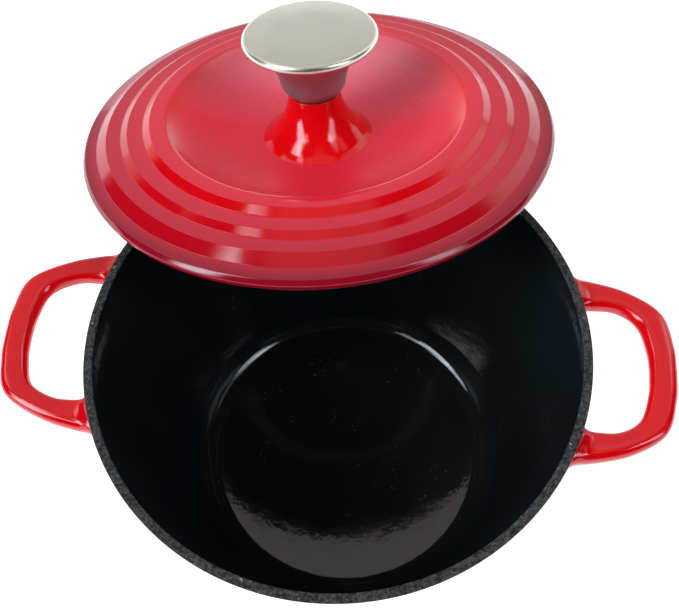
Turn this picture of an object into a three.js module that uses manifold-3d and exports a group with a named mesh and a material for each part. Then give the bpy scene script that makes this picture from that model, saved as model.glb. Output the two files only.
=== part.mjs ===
// Enamelled cast iron dutch oven, 200 mm across the rim, with its lid set back
// on the rear of the rim and tipped down behind it. Millimetres, +Z up.
// The origin is the centre of the pot's flat base, and the loop handles lie along X.
import * as THREE from 'three';
import { mergeVertices } from 'three/addons/utils/BufferGeometryUtils.js';
import Module from 'manifold-3d';

const wasm = await Module();
wasm.setup();

// ---- Pot ----
const RIM_RADIUS = 100; // outside of the rim
const RIM_INNER_RADIUS = 96.2;
const POT_HEIGHT = 126.5;
const FLOOR_THICKNESS = 4.5;
const WALL_SLOPE = { outer: 0.214, inner: 0.204 }; // radius lost per millimetre of depth
const OUTER_FILLET = 13; // round between the outer wall and the base
const INNER_FILLET = 9; // round between the inner wall and the floor
const RIM_EDGE = 0.8; // rounding of the rim's two edges

// ---- Loop handles ----
const HANDLE_TOP = POT_HEIGHT - 4.4;
const HANDLE_THICKNESS = 8;
const HANDLE_REACH = 133.4; // from the pot's axis to the outside of the bar
const HANDLE_BAR = 10.5; // width of the bar at its outer end
const HANDLE_ROOT = { x: 99, y: 37.2 }; // where the outline leaves the wall
const HANDLE_SIDE = { x: 114, y: 33 }; // where it starts to turn the corner
const HANDLE_CORNER = { x: 127.6, y: 23.6 };
const GRIP_ROOT = { x: 99, y: 26.2 };
const GRIP_SIDE = { x: 110, y: 25.8 };
const GRIP_CORNER = { x: 118, y: 19.6 };
const HANDLE_EDGE = 2.6; // rounding of the bar's edges
const HANDLE_START = 70; // the bar is drawn from here and trimmed to the wall

// ---- Lid, drawn about its own axis, heights from its widest circle ----
const LID_RADIUS = 100;
const LID_THICKNESS = 4;
const SEAT_DEPTH = 2.5; // the seat lies this far under the widest circle
const RIB_OUTER_RADIUS = 94.8; // locating rib that drops inside the rim
const RIB_WIDTH = 3.4;
const RIB_DEPTH = 7;
const STEP_RADII = [88.6, 79.2, 69.6]; // top edges of the three rings
const STEP_HEIGHTS = [7.1, 9.7, 12.8];
const STEP_FEET = [{ r: 94.2, h: 3 }, { r: 83.6, h: 7.4 }, { r: 73.6, h: 10 }];
const CREST_RADIUS = 63.2; // inner edge of the innermost ring
const DISH_HEIGHT = -1.8; // the sunk centre of the lid
const DISH_RADIUS = 32; // the dish is flat inside this
const BOSS_HEIGHT = 18.8;
const BOSS_TOP_RADIUS = 10.4;
const BOSS_BASE_RADIUS = 23.2;
const BOSS_HOLLOW_RADIUS = 8; // the boss is hollow from below
const BOSS_WEB_HEIGHT = 14.6; // underside of the web that the screw pulls on
const SCREW_HOLE_RADIUS = 3.5;

// ---- Where the lid rests ----
const LID_CENTRE = { x: -15.8, y: 97.7, z: POT_HEIGHT + 6.7 };
const LID_TURN = 8.6; // degrees about Z
const LID_TILT = 20.3; // degrees, rear edge down

// ---- Knob and its fastening ----
const GAP = 0.3; // between pieces that touch
const GASKET_THICKNESS = 0.8;
const KNOB_TOP = 47.2;
const KNOB_RADIUS = 27.5;
const KNOB_STEM_RADIUS = 10.4;
const KNOB_WALL = 1.7;
const INSERT_RADIUS = 8.3;
const INSERT_HEIGHT = 16;
const INSERT_BORE_RADIUS = 3.4;
const SCREW_RADIUS = 3;
const SCREW_HEAD_RADIUS = 5.2;
const SCREW_HEAD_HEIGHT = 3.2;
const SCREW_REACH = 12; // how far the screw enters the insert
const SLOT_WIDTH = 1.3;
const SLOT_DEPTH = 1.4;
const SEAL_WASHER = { inner: 3.6, outer: 7.2, thickness: 1 };
const FLAT_WASHER = { inner: 3.5, outer: 6.8, thickness: 1.1 };
const LOCK_WASHER = { inner: 3.4, outer: 5.4, thickness: 1.2, gap: 1.2 };

// ---- Facets ----
const LARGE_ROUND = 56;
const KNOB_ROUND = 40;
const SMALL_ROUND = 28;

const RED_ENAMEL = { color: 0xb80d18, roughness: 0.12, metalness: 0 };
const STEEL = { color: 0xb9b6ad, roughness: 0.3, metalness: 1 };
const ZINC = { color: 0xa9abad, roughness: 0.38, metalness: 1 };
const SILICONE = { color: 0x141414, roughness: 0.7, metalness: 0 };

// A point on a profile: x is the radius, y the height.
const at = (radius, height) => new THREE.Vector2(radius, height);

// Points along an arc from one angle to another, in degrees.
function arc(centre, radius, from, to, steps) {
  const points = [];
  for (let i = 0; i <= steps; i += 1) {
    const angle = THREE.MathUtils.degToRad(from + ((to - from) * i) / steps);
    points.push(at(centre.x + radius * Math.cos(angle), centre.y + radius * Math.sin(angle)));
  }
  return points;
}

// Points along a smooth curve through the given ones.
function smooth(points, steps) {
  return new THREE.SplineCurve(points).getPoints(steps);
}

// Turns a profile about Z. Its points run anticlockwise around the material.
function turned(profile, segments) {
  return new THREE.LatheGeometry(profile, segments).rotateX(Math.PI / 2);
}

function piece(name, geometry, finish) {
  const mesh = new THREE.Mesh(geometry, new THREE.MeshStandardMaterial(finish));
  mesh.name = name;
  return mesh;
}

// A closed geometry as a solid that can be joined or cut.
function solid(geometry) {
  const bare = geometry.clone();
  bare.deleteAttribute('normal');
  bare.deleteAttribute('uv');
  const merged = mergeVertices(bare, 1e-4);
  return new wasm.Manifold(new wasm.Mesh({
    numProp: 3,
    vertProperties: merged.attributes.position.array,
    triVerts: Uint32Array.from(merged.index.array),
  }));
}

function geometryOf(body) {
  const mesh = body.getMesh();
  const geometry = new THREE.BufferGeometry();
  geometry.setAttribute('position', new THREE.BufferAttribute(mesh.vertProperties, 3));
  geometry.setIndex(new THREE.BufferAttribute(mesh.triVerts, 1));
  geometry.computeVertexNormals();
  return geometry;
}

// A round between a wall that leans in by the slope and a flat at the given height.
function wallRound(radiusAtRim, slope, flatHeight, fillet, margin) {
  const height = flatHeight + fillet;
  const wall = radiusAtRim - slope * (POT_HEIGHT - height);
  const centre = at(wall - fillet * Math.sqrt(1 + slope * slope), height);
  const lean = THREE.MathUtils.radToDeg(Math.atan(slope));
  return arc(centre, fillet + margin, -90, -lean, 6);
}

// The outside of the pot from the centre of the base to the rim, grown by a margin.
function potOutside(margin) {
  const round = wallRound(RIM_RADIUS, WALL_SLOPE.outer, 0, OUTER_FILLET, margin);
  return [at(0, -margin), ...round, at(RIM_RADIUS + margin, POT_HEIGHT - RIM_EDGE)];
}

function potBody() {
  const inside = wallRound(RIM_INNER_RADIUS, WALL_SLOPE.inner, FLOOR_THICKNESS, INNER_FILLET, 0);
  const profile = [
    ...potOutside(0),
    at(RIM_RADIUS - RIM_EDGE * 0.3, POT_HEIGHT - RIM_EDGE * 0.3),
    at(RIM_RADIUS - RIM_EDGE, POT_HEIGHT),
    at(RIM_INNER_RADIUS + RIM_EDGE, POT_HEIGHT),
    at(RIM_INNER_RADIUS, POT_HEIGHT - RIM_EDGE),
    ...inside.reverse(),
    at(0, FLOOR_THICKNESS),
  ];
  return piece('pot_body', turned(profile, LARGE_ROUND), RED_ENAMEL);
}

// Half of an outline, from inside the wall to the bar's outer end.
function handleSide(root, side, corner, reach, steps) {
  const start = at(HANDLE_START, root.y + 2);
  const curve = smooth([at(root.x, root.y), at(side.x, side.y), at(corner.x, corner.y),
    at(reach - 1, corner.y * 0.42), at(reach, 0)], steps);
  return [start, ...curve];
}

// The same points across the X axis, continued from the last one.
function mirrored(points) {
  return points.slice(0, -1).map((p) => at(p.x, -p.y)).reverse();
}

// The loop on the +X side: a bar bent round three sides of a round-cornered frame.
function handleBar() {
  const outer = handleSide(HANDLE_ROOT, HANDLE_SIDE, HANDLE_CORNER, HANDLE_REACH, 9);
  const grip = handleSide(GRIP_ROOT, GRIP_SIDE, GRIP_CORNER, HANDLE_REACH - HANDLE_BAR, 8);
  const outline = [...outer, ...mirrored(outer)];
  const gap = [...grip, ...mirrored(grip)].reverse();
  const bar = new THREE.ExtrudeGeometry(new THREE.Shape([...outline, ...gap]), {
    depth: HANDLE_THICKNESS - 2 * HANDLE_EDGE,
    bevelThickness: HANDLE_EDGE,
    bevelSize: HANDLE_EDGE,
    bevelOffset: -HANDLE_EDGE,
    bevelSegments: 2,
  });
  return bar.translate(0, 0, HANDLE_TOP - HANDLE_THICKNESS + HANDLE_EDGE);
}

// The bar is trimmed to the leaning wall, which it is cast on to.
function handle(name, side) {
  const envelope = solid(turned([...potOutside(GAP), at(RIM_RADIUS + GAP, POT_HEIGHT + 1),
    at(0, POT_HEIGHT + 1)], LARGE_ROUND));
  const bar = handleBar().rotateZ(side > 0 ? 0 : Math.PI);
  return piece(name, geometryOf(solid(bar).subtract(envelope)), RED_ENAMEL);
}

// The lid's upper surface from the outer edge to the foot of the boss.
function lidTop() {
  const edge = arc(at(LID_RADIUS - 1.6, 0.3), 1.6, -50, 75, 4);
  const rings = [];
  STEP_RADII.forEach((radius, i) => {
    const foot = STEP_FEET[i];
    rings.push(at(foot.r + 0.9, foot.h - 0.1));
    rings.push(at(foot.r - 0.6, foot.h + 0.5));
    rings.push(at(radius + 0.5, STEP_HEIGHTS[i] - 0.5));
    rings.push(at(radius - 0.6, STEP_HEIGHTS[i]));
  });
  const crest = at(CREST_RADIUS + 0.8, STEP_HEIGHTS[2]);
  const slope = [at(CREST_RADIUS - 0.9, STEP_HEIGHTS[2] - 0.8), at(55, 7), at(49, 3),
    at(43, 0.2), at(37, -1.4)];
  return [...edge, ...rings, crest, ...slope, at(DISH_RADIUS, DISH_HEIGHT)];
}

// The waisted boss, from its foot up to the flat that carries the knob.
function bossSide() {
  return [at(BOSS_BASE_RADIUS, DISH_HEIGHT), ...smooth([
    at(BOSS_BASE_RADIUS - 1.4, DISH_HEIGHT + 0.6),
    at(19.2, 2),
    at(16.4, 5),
    at(12.9, 10),
    at(11.1, 14.4),
    at(BOSS_TOP_RADIUS, BOSS_HEIGHT),
  ], 7)];
}

// The lid's underside, from the boss's web out to the seat.
function lidUnderside() {
  const ribInner = RIB_OUTER_RADIUS - RIB_WIDTH;
  const under = DISH_HEIGHT - LID_THICKNESS;
  const rise = [at(32, under), at(38.5, under + 0.5), at(45, under + 2.2), at(51, under + 5.1),
    at(57.5, 3.2), at(64.2, 8.4), at(66, STEP_HEIGHTS[2] - LID_THICKNESS)];
  return [
    at(SCREW_HOLE_RADIUS, BOSS_WEB_HEIGHT),
    at(BOSS_HOLLOW_RADIUS, BOSS_WEB_HEIGHT),
    at(BOSS_HOLLOW_RADIUS + 0.6, 4),
    at(BOSS_HOLLOW_RADIUS + 3.5, under),
    ...rise,
    at(75, 6.4),
    at(83, 4),
    at(ribInner - 2, 2),
    at(ribInner, -1),
    at(ribInner + 0.3, 0.6 - RIB_DEPTH),
    at(ribInner + 1, -RIB_DEPTH),
    at(RIB_OUTER_RADIUS - 0.8, -RIB_DEPTH),
    at(RIB_OUTER_RADIUS, 0.8 - RIB_DEPTH),
    at(RIB_OUTER_RADIUS + 0.3, -SEAT_DEPTH),
    at(LID_RADIUS - 1.9, -SEAT_DEPTH),
  ];
}

function lid() {
  const bore = at(SCREW_HOLE_RADIUS, BOSS_HEIGHT);
  const profile = [...lidUnderside(), ...lidTop(), ...bossSide(), bore];
  profile.push(profile[0].clone());
  return piece('lid', turned(profile, LARGE_ROUND), RED_ENAMEL);
}

const GASKET_BOTTOM = BOSS_HEIGHT + GAP;
const KNOB_BOTTOM = GASKET_BOTTOM + GASKET_THICKNESS + GAP;

// A flat ring between two heights.
function ring(inner, outer, bottom, thickness) {
  const top = bottom + thickness;
  const profile = [at(inner, bottom), at(outer, bottom), at(outer, top), at(inner, top),
    at(inner, bottom)];
  return turned(profile, SMALL_ROUND);
}

// The knob is a spun shell: a cupped stem that flares into a flat round head.
function knob() {
  const stem = smooth([
    at(KNOB_STEM_RADIUS, KNOB_BOTTOM),
    at(KNOB_STEM_RADIUS + 2, KNOB_BOTTOM + 1.6),
    at(KNOB_STEM_RADIUS + 3.1, KNOB_BOTTOM + 4),
    at(KNOB_STEM_RADIUS + 4, KNOB_BOTTOM + 9),
    at(KNOB_STEM_RADIUS + 5.6, KNOB_BOTTOM + 14),
    at(KNOB_RADIUS - 8.4, KNOB_TOP - 7.8),
    at(KNOB_RADIUS - 2.4, KNOB_TOP - 4.6),
  ], 10);
  const hollow = smooth([
    at(KNOB_RADIUS - 4.6, KNOB_TOP - 3.6),
    at(KNOB_RADIUS - 10.4, KNOB_TOP - 6.8),
    at(KNOB_STEM_RADIUS + 3.5, KNOB_BOTTOM + 14.6),
    at(KNOB_STEM_RADIUS + 2, KNOB_BOTTOM + 9.4),
    at(KNOB_STEM_RADIUS + 1, KNOB_BOTTOM + 4.6),
    at(KNOB_STEM_RADIUS - KNOB_WALL, KNOB_BOTTOM),
  ], 9);
  const profile = [
    at(0, KNOB_TOP - KNOB_WALL),
    at(KNOB_RADIUS - 3.6, KNOB_TOP - KNOB_WALL - 0.4),
    ...hollow,
    ...stem,
    ...arc(at(KNOB_RADIUS - 2, KNOB_TOP - 2.4), 2, -45, 75, 4),
    at(KNOB_RADIUS * 0.6, KNOB_TOP - 0.1),
    at(0, KNOB_TOP),
  ];
  return piece('lid_knob', turned(profile, KNOB_ROUND), STEEL);
}

// A threaded core inside the knob, bored blind from below.
function knobInsert() {
  const bottom = KNOB_BOTTOM + GAP;
  const top = bottom + INSERT_HEIGHT;
  const boreEnd = bottom + SCREW_REACH + 1;
  const profile = [
    at(0, boreEnd),
    at(INSERT_BORE_RADIUS, boreEnd),
    at(INSERT_BORE_RADIUS, bottom),
    at(INSERT_RADIUS, bottom),
    at(INSERT_RADIUS, top),
    at(0, top),
  ];
  return piece('knob_threaded_insert', turned(profile, SMALL_ROUND), ZINC);
}

function gasket() {
  const inner = SCREW_HOLE_RADIUS + 0.1;
  const outer = BOSS_TOP_RADIUS - 0.2;
  return piece('knob_gasket', ring(inner, outer, GASKET_BOTTOM, GASKET_THICKNESS), SILICONE);
}

const SEAL_BOTTOM = BOSS_WEB_HEIGHT - GAP - SEAL_WASHER.thickness;
const FLAT_BOTTOM = SEAL_BOTTOM - GAP - FLAT_WASHER.thickness;
const LOCK_BOTTOM = FLAT_BOTTOM - GAP - LOCK_WASHER.thickness;
const HEAD_TOP = LOCK_BOTTOM - GAP;

function sealingWasher() {
  const shape = ring(SEAL_WASHER.inner, SEAL_WASHER.outer, SEAL_BOTTOM, SEAL_WASHER.thickness);
  return piece('sealing_washer', shape, SILICONE);
}

function flatWasher() {
  const shape = ring(FLAT_WASHER.inner, FLAT_WASHER.outer, FLAT_BOTTOM, FLAT_WASHER.thickness);
  return piece('flat_washer', shape, ZINC);
}

// The lock washer is a ring split on one side.
function lockWasher() {
  const whole = ring(LOCK_WASHER.inner, LOCK_WASHER.outer, LOCK_BOTTOM, LOCK_WASHER.thickness);
  const split = new THREE.BoxGeometry(LOCK_WASHER.outer, LOCK_WASHER.gap, LOCK_WASHER.thickness * 3);
  split.translate(LOCK_WASHER.outer / 2 + 1, 0, LOCK_BOTTOM);
  return piece('lock_washer', geometryOf(solid(whole).subtract(solid(split))), ZINC);
}

// A cross-slotted pan-head screw that comes up through the boss into the knob's insert.
function screw() {
  const tip = KNOB_BOTTOM + GAP + SCREW_REACH;
  const bottom = HEAD_TOP - SCREW_HEAD_HEIGHT;
  const profile = [
    at(0, bottom),
    at(SCREW_HEAD_RADIUS - 1.6, bottom),
    at(SCREW_HEAD_RADIUS - 0.4, bottom + 1.1),
    at(SCREW_HEAD_RADIUS, HEAD_TOP),
    at(SCREW_RADIUS, HEAD_TOP),
    at(SCREW_RADIUS, tip - 0.8),
    at(SCREW_RADIUS - 0.7, tip),
    at(0, tip),
  ];
  let body = solid(turned(profile, SMALL_ROUND));
  for (const turn of [0, Math.PI / 2]) {
    const slot = new THREE.BoxGeometry(SCREW_HEAD_RADIUS * 1.3, SLOT_WIDTH, SLOT_DEPTH * 2);
    body = body.subtract(solid(slot.rotateZ(turn).translate(0, 0, bottom)));
  }
  return piece('knob_screw', geometryOf(body), ZINC);
}

// The lid and everything fastened to it, tipped back over the rear of the rim.
function lidAssembly() {
  const group = new THREE.Group();
  group.rotation.order = 'ZXY';
  group.rotation.z = THREE.MathUtils.degToRad(LID_TURN);
  group.rotation.x = THREE.MathUtils.degToRad(-LID_TILT);
  group.position.set(LID_CENTRE.x, LID_CENTRE.y, LID_CENTRE.z);
  group.add(lid(), knob(), knobInsert(), gasket());
  group.add(sealingWasher(), flatWasher(), lockWasher(), screw());
  return group;
}

const dutchOven = new THREE.Group();
dutchOven.add(potBody(), handle('left_handle', -1), handle('right_handle', 1), lidAssembly());

export default dutchOven;
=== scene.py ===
"""Enamelled cast iron dutch oven with its lid tipped over the rear of the rim.

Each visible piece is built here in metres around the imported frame. The lid and its
fastening are drawn about the lid's own axis, in millimetres from its widest circle,
and are then set down where the frame's lid lies.
"""

import math

import bmesh
import bpy
from mathutils import Matrix, Vector


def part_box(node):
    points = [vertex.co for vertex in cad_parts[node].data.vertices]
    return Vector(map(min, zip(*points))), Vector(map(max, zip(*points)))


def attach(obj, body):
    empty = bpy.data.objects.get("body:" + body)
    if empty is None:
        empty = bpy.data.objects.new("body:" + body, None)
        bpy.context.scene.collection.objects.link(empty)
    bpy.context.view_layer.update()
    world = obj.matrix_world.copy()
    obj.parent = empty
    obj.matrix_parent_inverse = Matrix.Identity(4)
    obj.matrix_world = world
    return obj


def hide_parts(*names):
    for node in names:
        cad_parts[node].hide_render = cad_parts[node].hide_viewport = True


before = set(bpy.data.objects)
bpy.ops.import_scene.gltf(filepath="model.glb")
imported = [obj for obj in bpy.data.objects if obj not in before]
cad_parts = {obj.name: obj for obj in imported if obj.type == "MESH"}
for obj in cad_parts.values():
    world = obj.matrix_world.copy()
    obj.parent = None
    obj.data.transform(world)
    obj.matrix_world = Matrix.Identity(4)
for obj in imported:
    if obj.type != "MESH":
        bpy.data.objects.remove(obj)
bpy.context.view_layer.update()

MM = 0.001

# ---- Sizes read from the frame ----
POT_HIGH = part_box("pot_body")[1]
HANDLE_LOW, HANDLE_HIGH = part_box("right_handle")
RIM_RADIUS = POT_HIGH.x
POT_HEIGHT = POT_HIGH.z
HANDLE_REACH = HANDLE_HIGH.x
HANDLE_TOP = HANDLE_HIGH.z
HANDLE_THICKNESS = HANDLE_HIGH.z - HANDLE_LOW.z

# ---- Pot ----
RIM_WIDTH = 3.8 * MM
FLOOR_THICKNESS = 4.5 * MM
OUTER_SLOPE = 0.214
INNER_SLOPE = 0.204
OUTER_FILLET = 13 * MM
INNER_FILLET = 12 * MM
RIM_EDGE = 0.7 * MM
BAND_DEPTH = 1.5 * MM  # the bare rim turns this far down the outside
BAND_INSIDE = RIM_EDGE * 0.55  # and this far down the inside

# ---- Loop handles ----
BAR_WIDTH = 10.6 * MM
BAR_EDGE = 3.2 * MM
ROOT_FLARE = 6 * MM  # how far the bar swells where it joins the wall
ROOT_FLARE_UP = 1.6 * MM  # the same, on top of the bar
LEFT_EXTRA_REACH = 2 * MM

# ---- Lid and its fastening, in millimetres about the lid's own axis ----
LID_RADIUS = RIM_RADIUS / MM
LID_CENTRE = Vector((-15.8 * MM, 97.7 * MM, POT_HEIGHT + 6.7 * MM))
LID_TURN = math.radians(8.6)
LID_TILT = math.radians(20.3)
SEAT_INSIDE = 95.4  # the bare seat lies outside this radius
SEAT_TOP = -2.2  # and under this height
RIB_INSIDE = 91.3
RIB_TOP = -2.0
BOSS_TOP = 19.1
GASKET_BOTTOM = 19.15
KNOB_BOTTOM = 19.9
KNOB_TOP = 47.2
KNOB_RADIUS = 27.5
SEAL_BOTTOM = 13.3
FLAT_BOTTOM = 11.9
LOCK_BOTTOM = 10.4
HEAD_TOP = 10.1

# ---- Camera ----
CAMERA_TURN = math.radians(8.7)
CAMERA_HEIGHT_ANGLE = math.radians(63.12)
CAMERA_ROLL = math.radians(-4.57)
CAMERA_PLACE = Vector((30.4 * MM, -181.7 * MM, POT_HEIGHT + 399.6 * MM))
CAMERA_LENS = 59.4

ROUND = 288  # facets round a large turned piece
KNOB_ROUND = 192
SMALL_ROUND = 96

RED, BLACK, BARE = 0, 1, 2  # material indices on the two castings


# ---------------------------------------------------------------- mesh helpers


def rounded_profile(corners, closed, step=8.0):
    """Points (r, z) along a polyline whose corners (r, z, radius) are rounded."""
    points = []
    count = len(corners)
    for i, (r, z, radius) in enumerate(corners):
        here = Vector((r, z))
        if radius <= 0 or (not closed and i in (0, count - 1)):
            points.append(here)
            continue
        before = Vector(corners[i - 1][:2])
        after = Vector(corners[(i + 1) % count][:2])
        to_before = (before - here).normalized()
        to_after = (after - here).normalized()
        half = to_before.angle(to_after) / 2
        if half > math.radians(89.5):
            points.append(here)
            continue
        reach = radius / math.tan(half)
        centre = here + (to_before + to_after).normalized() * (radius / math.sin(half))
        start = here + to_before * reach - centre
        end = here + to_after * reach - centre
        turn = start.angle_signed(end)
        steps = max(2, math.ceil(abs(math.degrees(turn)) / step))
        for k in range(steps + 1):
            spoke = start.copy()
            spoke.rotate(Matrix.Rotation(-turn * k / steps, 2))
            points.append(centre + spoke)
    return points


def turned(name, points, zone, facets, closed):
    """A solid of revolution about Z. zone gives a band's material index from its middle
    (r, z) and from whether the outline runs inward there."""
    mesh = bmesh.new()
    rings = []
    for r, z in points:
        if r < 1e-9:
            rings.append([mesh.verts.new((0, 0, z))])
            continue
        angles = (2 * math.pi * k / facets for k in range(facets))
        rings.append([mesh.verts.new((r * math.cos(a), r * math.sin(a), z)) for a in angles])
    count = len(rings)
    for i in range(count if closed else count - 1):
        lower, upper = rings[i], rings[(i + 1) % count]
        (r0, z0), (r1, z1) = points[i], points[(i + 1) % count]
        index = zone((r0 + r1) / 2, (z0 + z1) / 2, r1 < r0)
        for k in range(facets):
            n = (k + 1) % facets
            if len(lower) == 1:
                corners = (lower[0], upper[n], upper[k])
            elif len(upper) == 1:
                corners = (lower[k], lower[n], upper[0])
            else:
                corners = (lower[k], lower[n], upper[n], upper[k])
            mesh.faces.new(corners).material_index = index
    return finish_mesh(name, mesh)


def one_finish(r, z, inward):
    """The zone of a piece that has a single material."""
    return 0


def finish_mesh(name, mesh):
    """An object from a closed mesh, with smooth shading."""
    bmesh.ops.recalc_face_normals(mesh, faces=mesh.faces)
    for face in mesh.faces:
        face.smooth = True
    data = bpy.data.meshes.new(name)
    mesh.to_mesh(data)
    mesh.free()
    piece = bpy.data.objects.new(name, data)
    bpy.context.scene.collection.objects.link(piece)
    return piece


def apply_modifiers(piece):
    depsgraph = bpy.context.evaluated_depsgraph_get()
    data = bpy.data.meshes.new_from_object(piece.evaluated_get(depsgraph))
    piece.modifiers.clear()
    piece.data = data


def combine(piece, other, operation):
    """Joins another closed piece to this one, or cuts it away."""
    modifier = piece.modifiers.new("combine", "BOOLEAN")
    modifier.operation = operation
    modifier.object = other
    modifier.solver = "EXACT"
    modifier.material_mode = "TRANSFER"
    apply_modifiers(piece)
    bpy.data.objects.remove(other)


def catmull(points, steps):
    """A smooth curve through the points, which it repeats at its two ends."""
    padded = [points[0] * 2 - points[1], *points, points[-1] * 2 - points[-2]]
    curve = []
    for i in range(1, len(padded) - 2):
        a, b, c, d = padded[i - 1 : i + 3]
        for k in range(steps):
            t = k / steps
            curve.append(
                0.5 * (2 * b + (c - a) * t + (2 * a - 5 * b + 4 * c - d) * t * t
                       + (3 * b - a - 3 * c + d) * t ** 3)
            )
    curve.append(points[-1])
    return curve


# ---------------------------------------------------------------- node helpers


class Shade:
    """A material's node tree, with short ways to add and join nodes."""

    def __init__(self, name):
        self.material = bpy.data.materials.new(name)
        self.material.use_nodes = True
        self.tree = self.material.node_tree
        self.surface = self.tree.nodes["Principled BSDF"]
        self.place = self.node("ShaderNodeTexCoord").outputs["Object"]

    def node(self, kind, **settings):
        node = self.tree.nodes.new(kind)
        for key, value in settings.items():
            setattr(node, key, value)
        return node

    def join(self, source, target):
        self.tree.links.new(source, target)

    def set(self, **values):
        for key, value in values.items():
            self.surface.inputs[key.replace("_", " ")].default_value = value

    def noise(self, size, detail=2.0, roughness=0.5, place=None):
        """Noise whose features are about size metres across."""
        node = self.node("ShaderNodeTexNoise")
        node.inputs["Scale"].default_value = 1 / size
        node.inputs["Detail"].default_value = detail
        node.inputs["Roughness"].default_value = roughness
        self.join(place or self.place, node.inputs["Vector"])
        return node.outputs["Fac"]

    def ramp(self, source, *stops):
        """Colours or greys laid along a value. Each stop is (position, colour)."""
        node = self.node("ShaderNodeValToRGB")
        elements = node.color_ramp.elements
        while len(elements) < len(stops):
            elements.new(0.5)
        for element, (position, colour) in zip(elements, stops):
            element.position = position
            grey = not isinstance(colour, tuple)
            element.color = (colour, colour, colour, 1) if grey else (*colour, 1)
        self.join(source, node.inputs["Fac"])
        return node.outputs["Color"]

    def spread(self, source, low, high):
        """The middle half of a value, stretched to run from low to high."""
        node = self.node("ShaderNodeMapRange")
        node.inputs["From Min"].default_value = 0.3
        node.inputs["From Max"].default_value = 0.7
        node.inputs["To Min"].default_value = low
        node.inputs["To Max"].default_value = high
        self.join(source, node.inputs["Value"])
        return node.outputs["Result"]

    def math(self, operation, a, b):
        node = self.node("ShaderNodeMath", operation=operation)
        for socket, value in zip(node.inputs, (a, b)):
            if isinstance(value, (int, float)):
                socket.default_value = value
            else:
                self.join(value, socket)
        return node.outputs["Value"]

    def blend(self, share, a, b):
        """Colour a where share is 0 and colour b where it is 1."""
        node = self.node("ShaderNodeMix", data_type="RGBA")
        self.join(share, node.inputs["Factor"])
        for socket, value in ((node.inputs["A"], a), (node.inputs["B"], b)):
            if isinstance(value, tuple):
                socket.default_value = (*value, 1)
            else:
                self.join(value, socket)
        return node.outputs["Result"]

    def bump(self, height, depth, under=None):
        """Relief of about depth metres."""
        node = self.node("ShaderNodeBump")
        node.inputs["Strength"].default_value = 1.0
        node.inputs["Distance"].default_value = depth
        self.join(height, node.inputs["Height"])
        if under is not None:
            self.join(under, node.inputs["Normal"])
        return node.outputs["Normal"]

    def from_axis(self):
        """Distance from the piece's own Z axis."""
        split = self.node("ShaderNodeSeparateXYZ")
        self.join(self.place, split.inputs["Vector"])
        x, y = split.outputs["X"], split.outputs["Y"]
        squares = self.math("ADD", self.math("MULTIPLY", x, x), self.math("MULTIPLY", y, y))
        return self.math("SQRT", squares, 0.0)


# ---------------------------------------------------------------- materials


def across_lid(shade, colour, gloss):
    """The lid's enamel: satin in the dish and dark at the lip; a painted reflection, a pale pink
    haze, lies on the dish and on every flat-lying band, and painted light makes the dish paler to
    the rear.
    """
    out = shade.math("DIVIDE", shade.from_axis(), RIM_RADIUS)
    facing = shade.node("ShaderNodeSeparateXYZ")
    shade.join(shade.node("ShaderNodeTexCoord").outputs["Normal"], facing.inputs["Vector"])
    level = shade.ramp(facing.outputs["Z"], (0.90, 0.0), (0.985, 1.0))
    satin = shade.ramp(out, (0.225, 0.0), (0.24, 1.0), (0.55, 1.0), (0.66, 0.0))
    painted_haze = shade.math("MAXIMUM", level, satin)
    off_boss = shade.ramp(out, (0.225, 0.0), (0.24, 1.0))
    painted_haze = shade.math("MULTIPLY", painted_haze, off_boss)
    # Painted reflection: a pale pink haze on the flat-lying bands and the dish, standing in for the
    # pale surroundings they mirror.
    colour = shade.blend(painted_haze, colour, (0.77, 0.017, 0.042))
    # Painted light: the dish is made paler towards the lid's rear.
    place = shade.node("ShaderNodeSeparateXYZ")
    shade.join(shade.place, place.inputs["Vector"])
    rear = shade.ramp(shade.math("DIVIDE", place.outputs["Y"], RIM_RADIUS),
                      (0.02, 0.0), (0.3, 0.3), (0.62, 1.0))
    painted_rear_light = shade.math("MULTIPLY", rear, satin)
    colour = shade.blend(painted_rear_light, colour, (0.77, 0.25, 0.31))
    edge = shade.ramp(out, (0.62, 0.0), (0.93, 0.55), (0.98, 0.9))
    colour = shade.blend(edge, colour, (0.23, 0.003, 0.016))
    shine = shade.ramp(satin, (0.0, 0.5), (1.0, 0.22))
    shade.join(shine, shade.surface.inputs["Specular IOR Level"])
    return colour, shade.math("ADD", gloss, shade.math("MULTIPLY", satin, 0.34))


def red_enamel(name, on_lid):
    """Glossy vitreous enamel: clear red. On the lid its red is painted brighter, and a painted
    reflection makes it paler where it lies flat.
    """
    shade = Shade(name)
    clouds = shade.noise(0.045, 3.0)
    # Painted light: the lid is given a brighter red than the pot, though both are the same enamel.
    red = 0.76 if on_lid else 0.64
    colour = shade.ramp(clouds, (0.3, (red * 0.95, 0.0006, 0.0035)),
                        (0.7, (red * 1.05, 0.0009, 0.0048)))
    gloss = shade.spread(shade.noise(0.02, 4.0), 0.06, 0.10)
    if on_lid:
        colour, gloss = across_lid(shade, colour, gloss)
    flecks = shade.ramp(shade.noise(0.0012, 1.0), (0.22, 1.0), (0.27, 0.0))
    colour = shade.blend(flecks, colour, (0.34, 0.001, 0.004))
    shade.join(colour, shade.surface.inputs["Base Color"])
    shade.join(gloss, shade.surface.inputs["Roughness"])
    waves = shade.bump(shade.noise(0.011, 1.0), 0.00003)
    peel = shade.bump(shade.noise(0.0028, 2.0), 0.000008, waves)
    shade.join(peel, shade.surface.inputs["Normal"])
    shade.set(IOR=1.5)
    return shade.material


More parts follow.
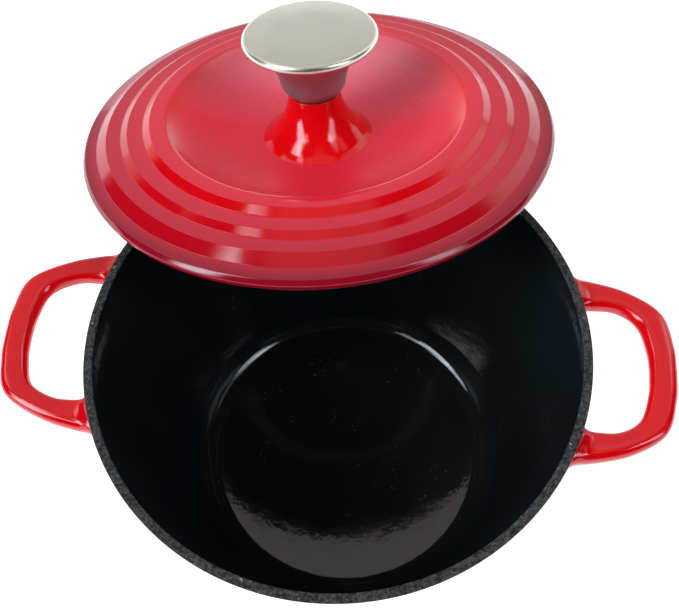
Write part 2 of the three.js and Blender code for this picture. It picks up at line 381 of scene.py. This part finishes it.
def black_enamel():
    """Near-black glass coat inside the pot, with orange peel and a little dust."""
    shade = Shade("black_enamel")
    dust = shade.ramp(shade.noise(0.0010, 0.0), (0.80, 0.0), (0.84, 1.0))
    patches = shade.ramp(shade.noise(0.016, 1.0), (0.56, 0.0), (0.66, 0.7))
    height = shade.node("ShaderNodeSeparateXYZ")
    shade.join(shade.place, height.inputs["Vector"])
    wall = shade.ramp(height.outputs["Z"], (FLOOR_THICKNESS * 1.2, 0.0), (FLOOR_THICKNESS * 3, 1.0))
    cloud = shade.noise(0.03, 3.0)
    warm = shade.ramp(cloud, (0.3, (0.0105, 0.0100, 0.0088)), (0.7, (0.0150, 0.0140, 0.0120)))
    cold = shade.ramp(cloud, (0.3, (0.0065, 0.0090, 0.0105)), (0.7, (0.0095, 0.0125, 0.0150)))
    tone = shade.blend(wall, warm, cold)
    specks = shade.math("MULTIPLY", dust, patches)
    shade.join(shade.blend(specks, tone, (0.16, 0.16, 0.16)), shade.surface.inputs["Base Color"])
    shade.join(shade.spread(shade.noise(0.015, 4.0), 0.05, 0.10), shade.surface.inputs["Roughness"])
    waves = shade.bump(shade.noise(0.012, 1.0), 0.00006)
    peel = shade.bump(shade.noise(0.0032, 2.0), 0.000035, waves)
    shade.join(peel, shade.surface.inputs["Normal"])
    shade.set(IOR=1.5)
    return shade.material


def matte_rim():
    """The bare, seasoned ring on top of the wall: dark grey, grainy, chalky flecks."""
    shade = Shade("matte_rim")
    grain = shade.noise(0.0012, 5.0, 0.75)
    tone = shade.ramp(grain, (0.42, (0.004, 0.004, 0.004)), (0.60, (0.080, 0.077, 0.073)))
    flecks = shade.ramp(shade.noise(0.0016, 2.0), (0.69, 0.0), (0.73, 1.0))
    shade.join(shade.blend(flecks, tone, (0.35, 0.34, 0.33)), shade.surface.inputs["Base Color"])
    shade.join(shade.spread(grain, 0.55, 0.8), shade.surface.inputs["Roughness"])
    shade.join(shade.bump(grain, 0.0004), shade.surface.inputs["Normal"])
    shade.set(Specular_IOR_Level=0.22)
    return shade.material


def brushed_steel():
    """Stainless steel turned on a lathe, so the fine marks run in rings."""
    shade = Shade("turned_steel")
    radius = shade.from_axis()
    lines = shade.node("ShaderNodeTexNoise", noise_dimensions="1D")
    lines.inputs["Scale"].default_value = 4200
    lines.inputs["Detail"].default_value = 3.0
    shade.join(radius, lines.inputs["W"])
    height = shade.node("ShaderNodeSeparateXYZ")
    shade.join(shade.place, height.inputs["Vector"])
    stem = shade.ramp(shade.math("DIVIDE", height.outputs["Z"], KNOB_TOP * MM),
                      (0.84, 1.0), (0.93, 0.0))
    cloud = shade.noise(0.012, 2.0)
    tone = shade.ramp(cloud, (0.3, (0.70, 0.695, 0.575)), (0.7, (0.73, 0.725, 0.60)))
    # Painted shade: below the knob's head the stem is a darker, cyan-tinted copy of the steel,
    # which cancels the red it mirrors from the lid; it is not the steel's own colour.
    shade.join(shade.blend(stem, tone, (0.36, 0.64, 0.64)), shade.surface.inputs["Base Color"])
    smudge = shade.spread(shade.noise(0.012, 3.0), 0.28, 0.34)
    dull = shade.math("ADD", smudge, shade.math("MULTIPLY", stem, 0.12))
    shade.join(dull, shade.surface.inputs["Roughness"])
    shade.join(shade.bump(lines.outputs["Fac"], 0.0000025), shade.surface.inputs["Normal"])
    shade.set(Metallic=1.0)
    return shade.material


def zinc_plate():
    """Plated fastener steel, slightly cloudy."""
    shade = Shade("zinc_plate")
    cloud = shade.noise(0.0016, 4.0)
    tone = shade.ramp(cloud, (0.3, (0.42, 0.43, 0.44)), (0.7, (0.56, 0.57, 0.57)))
    shade.join(tone, shade.surface.inputs["Base Color"])
    shade.join(shade.spread(cloud, 0.28, 0.46), shade.surface.inputs["Roughness"])
    shade.join(shade.bump(shade.noise(0.0005, 3.0), 0.00001), shade.surface.inputs["Normal"])
    shade.set(Metallic=1.0)
    return shade.material


def silicone():
    """Matte black rubber, a little dusty."""
    shade = Shade("silicone")
    grain = shade.noise(0.0007, 4.0)
    tone = shade.ramp(grain, (0.3, (0.010, 0.010, 0.011)), (0.7, (0.022, 0.021, 0.021)))
    shade.join(tone, shade.surface.inputs["Base Color"])
    shade.join(shade.spread(grain, 0.55, 0.75), shade.surface.inputs["Roughness"])
    shade.join(shade.bump(grain, 0.00003), shade.surface.inputs["Normal"])
    return shade.material


# ---------------------------------------------------------------- pot


def wall_radius(height):
    """Outside radius of the pot's straight wall at a height."""
    return RIM_RADIUS - OUTER_SLOPE * (POT_HEIGHT - height)


def pot_shell():
    """The pot without its handles."""
    inner_rim = RIM_RADIUS - RIM_WIDTH
    inner_foot = inner_rim - INNER_SLOPE * (POT_HEIGHT - FLOOR_THICKNESS)
    corners = [
        (0, 0, 0),
        (wall_radius(0), 0, OUTER_FILLET),
        (RIM_RADIUS - BAND_DEPTH * OUTER_SLOPE, POT_HEIGHT - BAND_DEPTH, 0),
        (RIM_RADIUS, POT_HEIGHT, RIM_EDGE),
        (inner_rim, POT_HEIGHT, RIM_EDGE),
        (inner_foot, FLOOR_THICKNESS, INNER_FILLET),
        (0, FLOOR_THICKNESS, 0),
    ]

    def zone(r, z, inward):
        if inward:
            return BARE if z > POT_HEIGHT - BAND_INSIDE else BLACK
        return BARE if z > POT_HEIGHT - BAND_DEPTH else RED

    points = rounded_profile(corners, closed=False, step=5.0)
    return turned("pot", points, zone, ROUND, closed=False)


def handle_side(root, side, corner, reach):
    """Half of an outline in plan, from inside the wall to the bar's outer end."""
    end = Vector((reach, 0))
    bow = Vector((0.7 * MM, 0))  # the bar bows out this much at its middle
    near_end = end - bow + Vector((0, corner.y * 0.44))
    wall_middle = wall_radius(HANDLE_TOP) - RIM_WIDTH * 0.45
    inside = Vector((math.sqrt(wall_middle ** 2 - root.y ** 2), root.y + 0.6 * MM))
    return catmull([inside, root, side, corner, near_end, end], 8)


def flared(place, out_x, out_z, height):
    """How far a point on the bar moves outward and up or down, to swell into the wall."""
    depth = ROOT_FLARE - max(0.0, place.length - wall_radius(height))
    if depth <= 0:
        return 0.0, 0.0
    depth = min(depth, ROOT_FLARE)
    grow = ROOT_FLARE - math.sqrt(ROOT_FLARE ** 2 - depth ** 2)
    rise = min(grow, ROOT_FLARE_UP) if out_z > 0 else grow
    return grow * out_x, rise * out_z


def handle(direction, reach):
    """A loop of rounded square bar. Its two ends flare into the wall."""
    def spot(x, y):
        return Vector((x * MM, y * MM))

    stretch = (reach - HANDLE_REACH) / MM
    outer = handle_side(spot(99, 38.6), spot(115, 34.4), spot(128.4 + stretch, 25.4), reach)
    inner = handle_side(spot(99, 26.4), spot(110, 26.0), spot(118.4 + stretch, 20.4),
                        reach - BAR_WIDTH)
    pairs = list(zip(outer, inner))
    pairs += [(Vector((a.x, -a.y)), Vector((b.x, -b.y))) for a, b in reversed(pairs[:-1])]
    half_height = HANDLE_THICKNESS / 2
    middle = HANDLE_TOP - half_height
    mesh = bmesh.new()
    rings = []
    for a, b in pairs:
        centre = (a + b) / 2
        across = (a - b).normalized()
        half_width = (a - b).length / 2
        ring = []
        for quarter, (sx, sz) in enumerate(((1, 1), (-1, 1), (-1, -1), (1, -1))):
            for k in range(6):
                angle = math.pi / 2 * (quarter + k / 5)
                out_x, out_z = math.cos(angle), math.sin(angle)
                place = centre + across * (sx * (half_width - BAR_EDGE) + BAR_EDGE * out_x)
                height = middle + sz * (half_height - BAR_EDGE) + BAR_EDGE * out_z
                swell, rise = flared(place, out_x, out_z, height)
                place += across * swell
                ring.append(mesh.verts.new((place.x * direction, place.y, height + rise)))
        rings.append(ring)
    count = len(rings[0])
    for lower, upper in zip(rings, rings[1:]):
        for k in range(count):
            n = (k + 1) % count
            mesh.faces.new((lower[k], lower[n], upper[n], upper[k]))
    mesh.faces.new(rings[0])
    mesh.faces.new(rings[-1])
    return finish_mesh("handle", mesh)


def build_pot(finishes):
    pot = pot_shell()
    for key in ("red", "black", "rim"):
        pot.data.materials.append(finishes[key])
    for direction, reach in ((1, HANDLE_REACH), (-1, HANDLE_REACH + LEFT_EXTRA_REACH)):
        bar = handle(direction, reach)
        bar.data.materials.append(finishes["red"])
        combine(pot, bar, "UNION")
    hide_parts("pot_body", "left_handle", "right_handle")
    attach(pot, "pot")


# ---------------------------------------------------------------- lid


def on_lid(piece, node, slot):
    """Sets a piece down on the tipped lid's axis, in place of its CAD node."""
    heading = Matrix.Rotation(LID_TURN, 4, "Z")
    lean = heading @ Matrix.Rotation(-LID_TILT, 4, "X") @ heading.inverted()
    piece.matrix_world = Matrix.Translation(LID_CENTRE) @ lean
    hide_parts(node)
    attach(piece, "lid")


def turned_on_lid(name, corners, zone, facets, closed):
    """A turned piece from corners in millimetres."""
    scaled = [(r * MM, z * MM, radius * MM) for r, z, radius in corners]
    return turned(name, rounded_profile(scaled, closed), zone, facets, closed)


def build_lid(finishes):
    # Round the section: hole, web, hollow boss, underside, rib, seat, lip, rings, dish, boss.
    corners = [
        (3.5, 14.6, 0.4),
        (8, 14.6, 1.5),
        (9.2, 0, 6),
        (17, -5.8, 9),
        (45.4, -5.8, 44),
        (65.4, 9.1, 4),
        (76, 6.4, 8),
        (90.6, 1.2, 4),
        (91.6, -7, 0.9),
        (94.7, -7, 0.9),
        (95.2, -2.5, 1.2),
        (99.4, -2.5, 1.0),
        (LID_RADIUS, 0, 1.6),
        (98.7, 2.1, 0.9),
        (93.6, 3.1, 1.6),
        (88.9, 7.1, 0.9),
        (82.9, 7.3, 1.6),
        (79.6, 9.8, 0.9),
        (73.2, 9.9, 1.6),
        (69.8, 12.8, 0.9),
        (63.2, 12.9, 3.4),
        (44.4, -1.8, 46),
        (23.2, -1.8, 0.5),
        (20.6, 0.2, 6),
        (16.4, 5, 20),
        (12.6, 10.6, 20),
        (10.5, BOSS_TOP, 0.25),
        (3.5, BOSS_TOP, 0.4),
    ]

    def zone(r, z, inward):
        if r > SEAT_INSIDE * MM:
            return RED if z > SEAT_TOP * MM else BARE
        if r > RIB_INSIDE * MM and z < RIB_TOP * MM:
            return BARE
        return RED if z > lid_middle(r / MM) * MM else BLACK

    lid = turned_on_lid("lid_casting", corners, zone, ROUND, closed=True)
    for key in ("lid_red", "black", "rim"):
        lid.data.materials.append(finishes[key])
    on_lid(lid, "lid", "red_enamel")


def lid_middle(r):
    """A height between the lid's upper and lower surfaces, in millimetres."""
    marks = [(0, 17), (9.6, 17), (16, 0), (22, -3.8), (40, -2.6), (56, 5.4), (65, 11),
             (76, 8.2), (90.6, 3.2), (101, 0)]
    for (r0, z0), (r1, z1) in zip(marks, marks[1:]):
        if r <= r1:
            return z0 + (z1 - z0) * (r - r0) / (r1 - r0)
    return 0


def build_knob(finishes):
    wall = 1.7
    foot = 10.3
    corners = [
        (0, KNOB_TOP, 0),
        (15, KNOB_TOP - 0.05, 30),
        (KNOB_RADIUS, KNOB_TOP - 0.6, 2.0),
        (KNOB_RADIUS, KNOB_TOP - 3.7, 1.0),
        (KNOB_RADIUS - 2.6, KNOB_TOP - 4.7, 3),
        (KNOB_RADIUS - 7.6, KNOB_TOP - 7.4, 10),
        (foot + 4.4, KNOB_BOTTOM + 11, 24),
        (foot + 3.0, KNOB_BOTTOM + 3.2, 5),
        (foot, KNOB_BOTTOM, 0.3),
        (foot - wall, KNOB_BOTTOM, 0.3),
        (foot + 1.4, KNOB_BOTTOM + 4, 4),
        (foot + 2.8, KNOB_BOTTOM + 12, 20),
        (KNOB_RADIUS - 8.8, KNOB_TOP - 6, 8),
        (KNOB_RADIUS - 4.6, KNOB_TOP - wall, 0.8),
        (0, KNOB_TOP - wall, 0),
    ]
    knob = turned_on_lid("knob_shell", corners, one_finish, KNOB_ROUND, closed=False)
    knob.data.materials.append(finishes["steel"])
    on_lid(knob, "lid_knob", "steel")


def washer(name, finish, inner, outer, bottom, thickness, edge):
    """A flat ring with rounded edges, in millimetres."""
    corners = [
        (inner, bottom, edge),
        (outer, bottom, edge),
        (outer, bottom + thickness, edge),
        (inner, bottom + thickness, edge),
    ]
    piece = turned_on_lid(name, corners, one_finish, SMALL_ROUND, closed=True)
    piece.data.materials.append(finish)
    return piece


def build_washers(finishes):
    gasket = washer("gasket_ring", finishes["silicone"], 3.6, 10.1, GASKET_BOTTOM, 0.7, 0.2)
    on_lid(gasket, "knob_gasket", "silicone")
    seal = washer("seal_ring", finishes["silicone"], 3.6, 7.2, SEAL_BOTTOM, 1.0, 0.3)
    on_lid(seal, "sealing_washer", "silicone")
    flat = washer("flat_ring", finishes["zinc"], 3.5, 6.8, FLAT_BOTTOM, 1.1, 0.2)
    on_lid(flat, "flat_washer", "zinc")


def box_mesh(name, size, place, turn):
    """A box to cut with, in millimetres."""
    mesh = bmesh.new()
    bmesh.ops.create_cube(mesh, size=1.0)
    bmesh.ops.scale(mesh, vec=Vector(size) * MM, verts=mesh.verts)
    bmesh.ops.rotate(mesh, verts=mesh.verts, matrix=turn)
    bmesh.ops.translate(mesh, vec=Vector(place) * MM, verts=mesh.verts)
    return finish_mesh(name, mesh)


def flat_shade_sharp(piece):
    """Smooth shading, except across edges that are sharper than 35 degrees."""
    piece.data.shade_smooth()
    piece.data.set_sharp_from_angle(angle=math.radians(35))


def build_lock_washer(finishes):
    ring = washer("lock_ring", finishes["zinc"], 3.4, 5.4, LOCK_BOTTOM, 1.2, 0.15)
    slant = Matrix.Rotation(math.radians(25), 3, "X")
    combine(ring, box_mesh("cut", (4, 1.0, 4), (4.6, 0, LOCK_BOTTOM + 0.6), slant), "DIFFERENCE")
    flat_shade_sharp(ring)
    on_lid(ring, "lock_washer", "zinc")


def build_insert(finishes):
    bottom = KNOB_BOTTOM + 0.3
    top = bottom + 16
    bore_end = bottom + 13
    corners = [
        (0, bore_end, 0),
        (3.4, bore_end, 0.2),
        (3.4, bottom, 0.3),
        (8.3, bottom, 0.5),
        (8.3, top, 0.6),
        (0, top, 0),
    ]
    insert = turned_on_lid("insert_core", corners, one_finish, SMALL_ROUND, closed=False)
    insert.data.materials.append(finishes["zinc"])
    on_lid(insert, "knob_threaded_insert", "zinc")


def build_screw(finishes):
    """A pan-head screw with a rolled thread and a cross slot, head down."""
    tip = KNOB_BOTTOM + 12.3
    head = HEAD_TOP - 3.2
    corners = [(0, head, 0), (4.0, head, 1.2), (5.2, head + 1.4, 0.6), (5.2, HEAD_TOP, 0.2),
               (3.0, HEAD_TOP, 0.2)]
    pitch = 1.0
    z = HEAD_TOP + 1.0
    while z < tip - 1.2:
        corners += [(3.0, z, 0), (2.55, z + pitch * 0.5, 0)]
        z += pitch
    corners += [(2.9, tip - 1.0, 0), (2.3, tip, 0), (0, tip, 0)]
    screw = turned_on_lid("screw", corners, one_finish, SMALL_ROUND, closed=False)
    screw.data.materials.append(finishes["zinc"])
    for turn in (0, 90):
        spin = Matrix.Rotation(math.radians(turn), 3, "Z")
        combine(screw, box_mesh("slot", (6.4, 1.3, 3.0), (0, 0, head), spin), "DIFFERENCE")
    flat_shade_sharp(screw)
    on_lid(screw, "knob_screw", "zinc")


# ---------------------------------------------------------------- studio


def floor():
    """A wide white sheet that glows a little, so that it stays pale under the pot."""
    size = 4.0
    mesh = bmesh.new()
    corners = [mesh.verts.new((x * size, y * size, -0.0004))
               for x, y in ((-1, -1), (1, -1), (1, 1), (-1, 1))]
    mesh.faces.new(corners)
    piece = finish_mesh("studio_floor", mesh)
    shade = Shade("studio_floor")
    shade.set(Base_Color=(0.9, 0.9, 0.9, 1), Roughness=0.9,
              Emission_Color=(1, 1, 1, 1), Emission_Strength=0.7)
    piece.data.materials.append(shade.material)


class Surroundings:
    """The world's node tree: a glow that depends on the direction alone."""

    def __init__(self):
        world = bpy.data.worlds.new("studio")
        bpy.context.scene.world = world
        world.use_nodes = True
        self.nodes = world.node_tree.nodes
        self.links = world.node_tree.links
        self.way = self.nodes.new("ShaderNodeTexCoord").outputs["Generated"]

    def math(self, operation, a, b=0.0):
        node = self.nodes.new("ShaderNodeMath")
        node.operation = operation
        for socket, value in zip(node.inputs, (a, b)):
            if isinstance(value, (int, float)):
                socket.default_value = value
            else:
                self.links.new(value, socket)
        return node.outputs["Value"]

    def along(self, direction):
        """How far each way points along a direction, from -1 to 1."""
        node = self.nodes.new("ShaderNodeVectorMath")
        node.operation = "DOT_PRODUCT"
        self.links.new(self.way, node.inputs[0])
        node.inputs[1].default_value = direction
        return node.outputs["Value"]

    def ease(self, value, start, end, low, high):
        """A value carried smoothly from low to high between start and end."""
        node = self.nodes.new("ShaderNodeMapRange")
        node.interpolation_type = "SMOOTHSTEP"
        for key, number in (("From Min", start), ("From Max", end),
                            ("To Min", low), ("To Max", high)):
            node.inputs[key].default_value = number
        self.links.new(value, node.inputs["Value"])
        return node.outputs["Result"]

    def panel(self, azimuth, height_angle, half_width, half_height, blur, strength):
        """A soft-edged rectangular panel. All but its strength is in degrees."""
        a, h = math.radians(azimuth), math.radians(height_angle)
        centre = Vector((math.cos(a) * math.cos(h), math.sin(a) * math.cos(h), math.sin(h)))
        side = Vector((-math.sin(a), math.cos(a), 0))
        toward = self.math("MAXIMUM", self.along(centre), 0.01)
        shares = []
        for direction, half in ((side, half_width), (centre.cross(side), half_height)):
            off = self.math("ABSOLUTE", self.math("DIVIDE", self.along(direction), toward))
            start, end = math.tan(math.radians(half - blur)), math.tan(math.radians(half + blur))
            shares.append(self.ease(off, start, end, 1.0, 0.0))
        return self.math("MULTIPLY", self.math("MULTIPLY", *shares), strength)

    def tinted(self, colour, strength):
        node = self.nodes.new("ShaderNodeVectorMath")
        node.operation = "SCALE"
        node.inputs[0].default_value = colour
        self.links.new(strength, node.inputs["Scale"])
        return node.outputs["Vector"]

    def total(self, parts):
        """The sum of several tints."""
        whole = parts[0]
        for part in parts[1:]:
            node = self.nodes.new("ShaderNodeVectorMath")
            self.links.new(whole, node.inputs[0])
            self.links.new(part, node.inputs[1])
            whole = node.outputs["Vector"]
        return whole


def studio():
    """Pale walls behind, the dark room by the camera, and soft panels on each side."""
    room = Surroundings()
    pale = (1.0, 0.96, 1.0)
    cool = (0.84, 0.98, 1.10)
    warm = (1.0, 0.91, 0.82)
    ceiling = room.ease(room.along((0, 0, 1)), 0.90, 0.965, 0.03, 0.52)
    lit = [
        room.tinted(warm, ceiling),
        room.tinted(pale, room.panel(91, 8, 59, 70, 2, 0.62)),
        room.tinted(pale, room.panel(40, 16, 9, 20, 4, 0.8)),
        room.tinted(pale, room.panel(141, 14, 8, 22, 5, 0.3)),
        room.tinted(pale, room.panel(46, 47, 5, 10, 3, 2.4)),
        room.tinted(pale, room.panel(157, 48, 5, 10, 3, 2.8)),
        room.tinted(cool, room.panel(-147, 32, 8, 20, 4, 10.0)),
        room.tinted(cool, room.panel(-24, 34, 7, 20, 5, 5.0)),
        room.tinted(cool, room.panel(-163, 50, 6, 10, 3, 8.0)),
        room.tinted(cool, room.panel(-31, 51, 5, 5, 2, 6.0)),
        room.tinted(warm, room.panel(-131, 49, 5, 6, 2, 3.4)),
        room.tinted(warm, room.panel(-10, 44, 14, 5, 3, 0.6)),
        room.tinted(cool, room.panel(-180, 63, 4, 4, 2, 4.0)),
    ]
    background = room.nodes["Background"]
    glow = room.nodes.new("ShaderNodeMix")
    glow.data_type = "RGBA"
    seen = room.nodes.new("ShaderNodeLightPath")
    room.links.new(seen.outputs["Is Camera Ray"], glow.inputs["Factor"])
    room.links.new(room.total(lit), glow.inputs["A"])
    glow.inputs["B"].default_value = (1, 1, 1, 1)
    room.links.new(glow.outputs["Result"], background.inputs["Color"])


def camera():
    data = bpy.data.cameras.new("camera")
    data.lens = CAMERA_LENS
    data.sensor_width = 36
    data.clip_start = 0.01
    eye = bpy.data.objects.new("camera", data)
    bpy.context.scene.collection.objects.link(eye)
    turn = Matrix.Rotation(CAMERA_TURN, 4, "Z")
    pitch = Matrix.Rotation(math.pi / 2 - CAMERA_HEIGHT_ANGLE, 4, "X")
    roll = Matrix.Rotation(CAMERA_ROLL, 4, "Z")
    eye.matrix_world = Matrix.Translation(CAMERA_PLACE) @ turn @ pitch @ roll
    bpy.context.scene.camera = eye
    bpy.context.scene.view_settings.view_transform = "Standard"


def main():
    finishes = {
        "red": red_enamel("pot_red_enamel", on_lid=False),
        "lid_red": red_enamel("lid_red_enamel", on_lid=True),
        "black": black_enamel(),
        "rim": matte_rim(),
        "steel": brushed_steel(),
        "zinc": zinc_plate(),
        "silicone": silicone(),
    }
    build_pot(finishes)
    build_lid(finishes)
    build_knob(finishes)
    build_washers(finishes)
    build_lock_washer(finishes)
    build_insert(finishes)
    build_screw(finishes)
    floor()
    studio()
    camera()


main()
